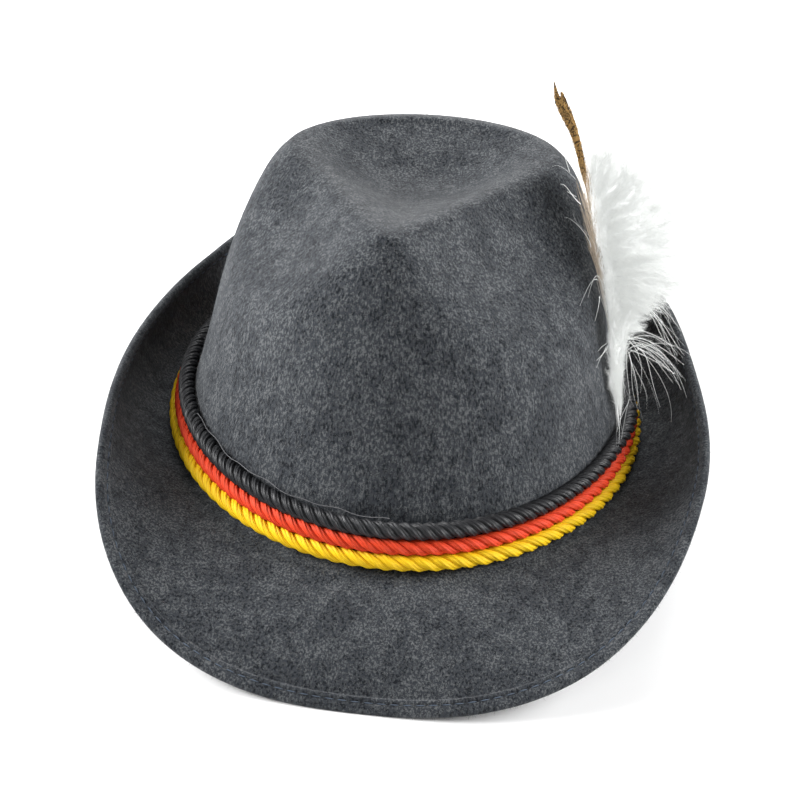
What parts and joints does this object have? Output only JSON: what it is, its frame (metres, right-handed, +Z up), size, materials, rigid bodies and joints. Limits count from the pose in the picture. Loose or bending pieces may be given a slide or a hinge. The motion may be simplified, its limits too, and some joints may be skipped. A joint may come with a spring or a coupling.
{
  "type": "tyrolean hat",
  "caption": "Felt hat with a pinched teardrop crown, upturned brim, twisted cords round the crown, a white down plume and a brown feather.",
  "frame": {"origin": "middle of the bottom of the resting hat's box", "axes": "+Z up, -Y the front of the hat, +X the wearer's left, where the plume is"},
  "size_m": [0.2276, 0.2832, 0.1632],
  "materials": {
    "felt": "charcoal heather wool felt with light and dark flecks and a short nap",
    "cord_black": "black satin twisted cord",
    "cord_red": "orange-red satin twisted cord",
    "cord_yellow": "golden yellow satin twisted cord",
    "down": "soft white down",
    "feather": "ochre feather with dark brown bands and pale strands"
  },
  "bodies": {
    "root": {"felt_body": "felt", "cord_black": "cord_black", "cord_red": "cord_red", "cord_yellow": "cord_yellow", "plume_white": "down", "feather_brown": "feather"}
  },
  "joints": []
}
